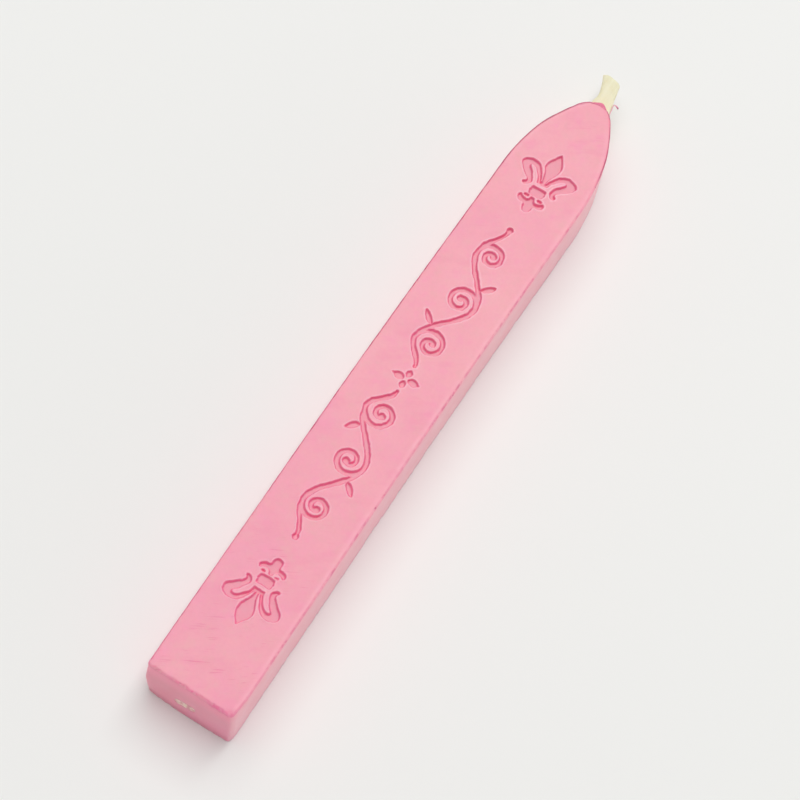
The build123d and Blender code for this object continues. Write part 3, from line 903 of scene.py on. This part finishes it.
def wax_material():
    m = Nodes("pink_wax")
    broad = m.noise(95.0, 3.0, 0.5, m.scaled((1.0, 1.0, 1.0), (0, 0.3, 0.1)))
    fine = m.noise(420.0, 4.0, 0.6)
    xyz = m.add("ShaderNodeSeparateXYZ")
    m.link(m.coord, xyz.inputs[0])
    cool = m.ramp(broad, [(0.30, srgb(241, 149, 177)), (0.50, srgb(242, 157, 176)), (0.70, srgb(243, 163, 178))])
    warm = m.ramp(broad, [(0.30, srgb(242, 155, 177)), (0.50, srgb(244, 164, 178)), (0.70, srgb(245, 171, 181))])
    col = m.mix(m.grey(xyz.outputs["X"], -0.035, 0.012), cool, warm)
    # handling marks: soft smears and short fine scratches, most of them by the butt
    flank = m.attribute("flank")
    face = m.grey(flank, 0.5, 0.0)
    col = m.mix(m.math("MULTIPLY", face, m.grey(fine, 0.55, 0.80, 0.0, 0.30)), col, srgb(247, 177, 188))
    col = m.mix(m.math("MULTIPLY", face, 0.24), col, srgb(249, 182, 192))
    blotch = m.noise(250.0, 4.0, 0.62, m.scaled((0.8, 1.1, 1.0), (0, 0, 0.6)))
    col = m.mix(m.math("MULTIPLY", face, m.grey(blotch, 0.53, 0.72, 0.0, 0.22)), col, srgb(242, 140, 177))
    col = m.mix(m.math("MULTIPLY", face, m.grey(m.noise(2600.0, 2.0, 0.5), 0.35, 0.65, 0.0, 0.12)), col, srgb(236, 148, 170))
    # small drifts of hue at even lightness
    tint = m.noise(520.0, 3.0, 0.72, m.scaled((1, 1, 1), (0, 0.9, 0.4)))
    col = m.mix(m.math("MULTIPLY", face, m.grey(tint, 0.50, 0.70, 0.0, 0.34)), col, srgb(249, 155, 187))
    col = m.mix(m.math("MULTIPLY", face, m.grey(tint, 0.50, 0.30, 0.0, 0.34)), col, srgb(236, 173, 174))
    smear = m.noise(1.0, 3.0, 0.6, m.streaks(0.006, 0.0018, math.radians(-58)))
    col = m.mix(m.math("MULTIPLY", face, m.grey(smear, 0.52, 0.76, 0.0, 0.22)), col, srgb(239, 138, 170))
    where = m.math("ADD", m.grey(xyz.outputs["X"], -0.018, -0.032, 0.22, 1.0), m.grey(xyz.outputs["X"], 0.030, 0.038, 0.0, 0.12))
    first = m.math("MULTIPLY", m.grey(m.noise(1.0, 1.0, 0.5, m.streaks(0.0030, 0.00015, math.radians(-60))), 0.61, 0.72), m.grey(m.noise(210.0, 2.0, 0.6), 0.50, 0.62))
    second = m.math("MULTIPLY", m.grey(m.noise(1.0, 2.0, 0.6, m.streaks(0.0017, 0.00013, math.radians(-50))), 0.60, 0.72), m.grey(m.noise(150.0, 2.0, 0.6, m.scaled((1, 1, 1), (0, 0, 1.1))), 0.50, 0.64))
    mark = m.math("MULTIPLY", m.math("MULTIPLY", m.math("ADD", first, second), face), where)
    col = m.mix(m.math("MULTIPLY", mark, 0.42), col, srgb(229, 100, 146))
    # painted shade on the floors of the recesses
    col = m.mix(m.math("MULTIPLY", m.attribute("recess_floor_shade"), 0.55), col, srgb(231, 155, 172))
    # painted shade on the walls of the recesses
    col = m.mix(m.math("MULTIPLY", m.attribute("recess_wall_shade"), 0.66), col, m.mix(m.grey(xyz.outputs["X"], -0.03, 0.03), srgb(246, 90, 150), srgb(238, 74, 136)))
    # painted highlight: the raised lip along each recess is painted paler
    lip = m.math("MULTIPLY", m.attribute("lip"), m.grey(xyz.outputs["X"], -0.03, 0.03, 0.36, 0.74))
    lip = m.math("MULTIPLY", lip, m.grey(m.noise(380.0, 2.0, 0.5), 0.3, 0.7, 0.55, 1.0))
    col = m.mix(lip, col, srgb(255, 200, 211))
    # painted shade: a dark pink rim down the rounded top edge, and a hot pink band along it at the butt
    rim_shade_mask = m.attribute("edge_shade")
    end = m.attribute("butt_end")
    rim = m.math("MULTIPLY", rim_shade_mask, m.grey(m.noise(520.0, 3.0, 0.6), 0.35, 0.65, 0.40, 1.0))
    col = m.mix(m.math("MULTIPLY", rim, m.grey(end, 1.0, 0.0)), col, srgb(196, 70, 110))
    blot = m.math("MULTIPLY", rim_shade_mask, m.grey(m.noise(1150.0, 4.0, 0.68), 0.40, 0.62, 0.10, 0.95))
    col = m.mix(m.math("MULTIPLY", blot, end), col, srgb(243, 122, 163))
    # painted shade line along the far top edge
    line = m.math("MULTIPLY", m.attribute("far_edge_shade"), m.grey(m.noise(700.0, 3.0, 0.6), 0.30, 0.65, 0.55, 0.85))
    col = m.mix(line, col, srgb(168, 58, 94))
    # painted glow along the near top edge
    glow = m.math("MULTIPLY", m.attribute("edge_glow"), m.grey(m.noise(600.0, 3.0, 0.6), 0.30, 0.65, 0.08, 0.34))
    col = m.mix(glow, col, srgb(243, 116, 158))
    # painted shade line on the near edge of the point
    nose = m.math("MULTIPLY", m.attribute("nose_edge_shade"), m.grey(m.noise(820.0, 3.0, 0.6), 0.32, 0.62, 0.45, 0.92))
    col = m.mix(nose, col, srgb(182, 62, 102))
    shelf = m.math("MULTIPLY", m.attribute("ledge"), m.grey(m.noise(1400.0, 3.0, 0.6), 0.35, 0.60, 0.30, 0.75))
    col = m.mix(shelf, col, srgb(240, 126, 160))
    # painted highlight inside the far top edge
    col = m.mix(m.math("MULTIPLY", m.attribute("far_edge_highlight"), 0.32), col, srgb(255, 196, 207))
    # painted highlight along the rounded near top edge
    lit = m.attribute("edge_light")
    col = m.mix(m.math("MULTIPLY", lit, m.grey(m.noise(640.0, 3.0, 0.6), 0.35, 0.65, 0.15, 0.5)), col, srgb(249, 172, 188))
    bruise = m.math("MULTIPLY", m.attribute("corner_wear"), m.grey(m.noise(1000.0, 4.0, 0.65), 0.36, 0.62, 0.20, 0.95))
    col = m.mix(bruise, col, srgb(240, 118, 158))
    # painted shade: the butt wall darker towards its +Y side
    deep = m.math("MULTIPLY", m.math("MULTIPLY", end, m.grey(face, 0.5, 0.0)), m.grey(xyz.outputs["Y"], -0.0015, 0.0035))
    col = m.mix(m.math("MULTIPLY", deep, 0.30), col, srgb(236, 136, 156))
    # painted light on the side walls: paler as a painted reflection of the floor, pinker near the top, darker at the
    # foot as painted shade
    wall = m.attribute("side_wall_light")
    col = m.mix(m.math("MULTIPLY", wall, 0.62), col, srgb(251, 190, 197))
    col = m.mix(m.math("MULTIPLY", m.math("MULTIPLY", wall, m.grey(xyz.outputs["Z"], 0.0060, 0.0080)), 0.55), col, srgb(252, 170, 187))
    col = m.mix(m.math("MULTIPLY", m.math("MULTIPLY", wall, m.grey(xyz.outputs["Z"], 0.0018, 0.0004)), 0.45), col, srgb(232, 152, 180))
    # the butt wall is painted paler as painted light, brighter along its upper edge where light comes through, and
    # darker at its foot as painted shade
    butt = m.math("MULTIPLY", m.math("MULTIPLY", end, m.grey(face, 0.5, 0.0)), m.grey(wall, 0.6, 0.0))
    butt = m.math("MULTIPLY", butt, m.grey(rim_shade_mask, 0.05, 0.55, 1.0, 0.1))
    col = m.mix(m.math("MULTIPLY", butt, 0.22), col, srgb(255, 161, 178))
    col = m.mix(m.math("MULTIPLY", m.math("MULTIPLY", butt, m.grey(xyz.outputs["Z"], 0.0052, 0.0077)), 0.95), col, srgb(255, 154, 179))
    col = m.mix(m.math("MULTIPLY", m.math("MULTIPLY", butt, m.grey(xyz.outputs["Z"], 0.0022, 0.0002)), 0.45), col, srgb(206, 104, 130))
    blush = m.math("MULTIPLY", m.grey(xyz.outputs["X"], -0.0405, -0.0440), m.grey(xyz.outputs["Y"], -0.0012, -0.0045))
    col = m.mix(m.math("MULTIPLY", m.math("MULTIPLY", blush, face), 0.26), col, srgb(244, 138, 178))
    # painted highlight inside the near top edge
    pale = m.math("MULTIPLY", m.attribute("near_edge_highlight"), m.grey(m.noise(420.0, 3.0, 0.6), 0.30, 0.65, 0.10, 0.45))
    col = m.mix(pale, col, srgb(255, 194, 206))
    # painted shade: a broken dark pink line right at the near top edge
    dotted_edge_shade = m.attribute("near_edge_shade")
    broken = m.math("MULTIPLY", m.grey(m.noise(950.0, 4.0, 0.65), 0.40, 0.60, 0.10, 0.85), m.grey(m.noise(230.0, 2.0, 0.5), 0.40, 0.60, 0.45, 1.0))
    col = m.mix(m.math("MULTIPLY", dotted_edge_shade, broken), col, srgb(226, 112, 148))
    # tiny dark specks where an edge has been knocked
    cells = m.add("ShaderNodeTexVoronoi")
    cells.inputs["Scale"].default_value = 1300.0
    m.link(m.coord, cells.inputs["Vector"])
    pick = m.add("ShaderNodeSeparateColor")
    m.link(cells.outputs["Color"], pick.inputs[0])
    speck = m.math("MULTIPLY", m.grey(cells.outputs["Distance"], 0.24, 0.12), m.grey(pick.outputs[0], 0.70, 0.76))
    speck = m.math("MULTIPLY", speck, m.grey(m.math("ADD", m.math("ADD", rim_shade_mask, lit), dotted_edge_shade), 0.35, 0.7))
    col = m.mix(m.math("MULTIPLY", speck, 0.6), col, srgb(200, 86, 126))
    m.link(col, m.bsdf.inputs["Base Color"])
    rough = m.math("SUBTRACT", m.grey(fine, 0.2, 0.8, 0.44, 0.58), m.math("MULTIPLY", flank, 0.15))
    m.link(rough, m.bsdf.inputs["Roughness"])
    m.bsdf.inputs["IOR"].default_value = 1.45
    m.bsdf.inputs["Subsurface Weight"].default_value = 0.25
    m.bsdf.inputs["Subsurface Radius"].default_value = (1.0, 0.42, 0.45)
    m.bsdf.inputs["Subsurface Scale"].default_value = 0.0006
    # the cast faces are finely uneven, the side walls smoother
    calm = m.grey(flank, 0.0, 1.0, 0.34, 0.0)
    n1 = m.bump(m.noise(900.0, 3.0, 0.6), 0.00002, calm)
    n2 = m.bump(m.noise(230.0, 3.0, 0.55), 0.00005, calm, n1)
    n3 = m.bump(m.math("SUBTRACT", 1.0, mark), 0.00003, 0.4, n2)
    m.link(n3, m.bsdf.inputs["Normal"])
    return m.mat


def wick_material():
    m = Nodes("waxed_cotton")
    fibre = m.noise(900.0, 4.0, 0.65, m.scaled((0.35, 1.6, 1.6)))
    soft = m.noise(300.0, 2.0, 0.5)
    col = m.ramp(fibre, [(0.30, srgb(229, 224, 190)), (0.55, srgb(236, 232, 201)), (0.80, srgb(241, 238, 214))])
    col = m.mix(m.grey(soft, 0.45, 0.75, 0.0, 0.4), col, srgb(240, 232, 194))
    col = m.mix(m.math("MULTIPLY", m.attribute("wax_film"), 0.9), col, srgb(236, 140, 160))
    # the cut end in the butt face
    along = m.add("ShaderNodeSeparateXYZ")
    m.link(m.coord, along.inputs[0])
    cut = m.grey(along.outputs["X"], -0.0444, -0.0449)
    col = m.mix(m.math("MULTIPLY", cut, m.grey(m.noise(1900.0, 2.0, 0.5), 0.38, 0.62, 0.10, 0.90)), col, srgb(255, 222, 212))
    smudge = m.math("ABSOLUTE", m.math("ADD", along.outputs["Y"], 0.00028), 0.0)
    col = m.mix(m.math("MULTIPLY", cut, m.grey(smudge, 0.00034, 0.00008, 0.0, 0.72)), col, srgb(226, 150, 160))
    col = m.mix(m.math("MULTIPLY", cut, m.grey(m.noise(1200.0, 2.0, 0.5, m.scaled((1, 1, 1), (0, 0.4, 0))), 0.50, 0.68, 0.0, 0.55)), col, srgb(228, 160, 164))
    m.link(col, m.bsdf.inputs["Base Color"])
    m.bsdf.inputs["Roughness"].default_value = 0.62
    m.bsdf.inputs["Subsurface Weight"].default_value = 0.3
    m.bsdf.inputs["Subsurface Radius"].default_value = (1.0, 0.9, 0.6)
    m.bsdf.inputs["Subsurface Scale"].default_value = 0.0005
    m.link(m.bump(fibre, 0.00003, 0.4), m.bsdf.inputs["Normal"])
    return m.mat


def flash_material():
    m = Nodes("thin_wax")
    col = m.ramp(m.noise(500.0, 3.0), [(0.3, srgb(222, 148, 172)), (0.7, srgb(234, 178, 192))])
    col = m.mix(m.math("MULTIPLY", m.attribute("curl"), 0.75), col, srgb(198, 108, 142))
    m.link(col, m.bsdf.inputs["Base Color"])
    m.bsdf.inputs["Roughness"].default_value = 0.4
    m.bsdf.inputs["Subsurface Weight"].default_value = 0.4
    m.bsdf.inputs["Subsurface Radius"].default_value = (1.0, 0.45, 0.5)
    m.bsdf.inputs["Subsurface Scale"].default_value = 0.0006
    return m.mat


def floor_material():
    m = Nodes("pale_floor")
    col = m.ramp(m.noise(3.0, 2.0), [(0.3, srgb(240, 240, 238)), (0.7, srgb(242, 242, 240))])
    m.link(col, m.bsdf.inputs["Base Color"])
    m.bsdf.inputs["Roughness"].default_value = 0.75
    m.bsdf.inputs["Specular IOR Level"].default_value = 0.2
    return m.mat


def wear(ob, mat):
    ob.data.materials.clear()
    ob.data.materials.append(mat)


wear(wax, wax_material())
wear(wick, wick_material())
wear(flash, flash_material())
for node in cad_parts.values():
    wear(node, wax.data.materials[0] if node.name == "wax_body" else wick.data.materials[0])

# ---------------------------------------------------------------- what moves with what
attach(wax, "stick")
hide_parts("wax_body")
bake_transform(wick)
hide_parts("wick", "wick_end")
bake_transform(flash)

# ---------------------------------------------------------------- floor, light, camera
me = bpy.data.meshes.new("floor")
me.from_pydata([(0.7 * math.cos(a), 0.7 * math.sin(a), 0.0) for a in np.linspace(0, 2 * math.pi, 65)[:-1]], [], [list(range(64))])
floor = bpy.data.objects.new("floor", me)
scene.collection.objects.link(floor)
wear(floor, floor_material())

world = bpy.data.worlds.new("studio")
scene.world = world
world.use_nodes = True
bg = world.node_tree.nodes["Background"]
wt = world.node_tree
wc = wt.nodes.new("ShaderNodeTexCoord")
wz = wt.nodes.new("ShaderNodeSeparateXYZ")
wt.links.new(wc.outputs["Generated"], wz.inputs[0])
wr = wt.nodes.new("ShaderNodeValToRGB")
wr.color_ramp.elements[0].position = 0.10
wr.color_ramp.elements[0].color = (0.92, 0.92, 0.915, 1)
wr.color_ramp.elements[1].position = 0.24
wr.color_ramp.elements[1].color = (0.38, 0.38, 0.38, 1)
wt.links.new(wz.outputs["Z"], wr.inputs[0])
# a low fill card on the -Y side
low = wt.nodes.new("ShaderNodeMapRange")
low.interpolation_type = "SMOOTHSTEP"
low.inputs["From Min"].default_value, low.inputs["From Max"].default_value = 0.45, 0.10
wt.links.new(wz.outputs["Z"], low.inputs["Value"])
near = wt.nodes.new("ShaderNodeMapRange")
near.interpolation_type = "SMOOTHSTEP"
near.inputs["From Min"].default_value, near.inputs["From Max"].default_value = -0.25, -0.95
near.inputs["To Max"].default_value = 0.62
wt.links.new(wz.outputs["Y"], near.inputs["Value"])
card = wt.nodes.new("ShaderNodeMath")
card.operation = "MULTIPLY"
wt.links.new(low.outputs[0], card.inputs[0])
wt.links.new(near.outputs[0], card.inputs[1])
both = wt.nodes.new("ShaderNodeVectorMath")
both.operation = "ADD"
wt.links.new(wr.outputs[0], both.inputs[0])
wt.links.new(card.outputs[0], both.inputs[1])
wt.links.new(both.outputs[0], bg.inputs["Color"])
bg.inputs["Strength"].default_value = 1.0

def panel(name, x, y, size_x, size_y, energy):
    li = bpy.data.lights.new(name, "AREA")
    li.shape = "RECTANGLE"
    li.size, li.size_y = size_x, size_y
    li.energy = energy
    li.color = (1.0, 1.0, 0.992)
    ob = bpy.data.objects.new(name, li)
    ob.location = (x, y, 1.20)
    scene.collection.objects.link(ob)


panel("softbox", 0.46, -0.11, 1.45, 0.32, 7.3)
panel("scrim", 0.46, 0.41, 1.45, 0.72, 5.28)

FOCAL_PX = 2682.0
AZ, EL, ROLL, DIST = math.radians(-70.57), math.radians(65.00), math.radians(13.72), 316.5
TARGET = Vector((1.09, 0.89 - 0.3, 0.0))
back = Vector((math.sin(AZ) * math.cos(EL), -math.cos(AZ) * math.cos(EL), math.sin(EL)))
r0 = (-back).cross(Vector((0, 0, 1))).normalized()
u0 = r0.cross(-back)
right = r0 * math.cos(ROLL) + u0 * math.sin(ROLL)
upv = -r0 * math.sin(ROLL) + u0 * math.cos(ROLL)
cam_data = bpy.data.cameras.new("camera")
cam_data.sensor_width = 36.0
cam_data.lens = FOCAL_PX / 800.0 * 36.0
cam_data.clip_start, cam_data.clip_end = 0.01, 20.0
cam = bpy.data.objects.new("camera", cam_data)
loc = (TARGET + back * DIST) * MM
cam.matrix_world = Matrix(((right.x, upv.x, back.x, loc.x), (right.y, upv.y, back.y, loc.y), (right.z, upv.z, back.z, loc.z), (0, 0, 0, 1)))
scene.collection.objects.link(cam)
scene.camera = cam
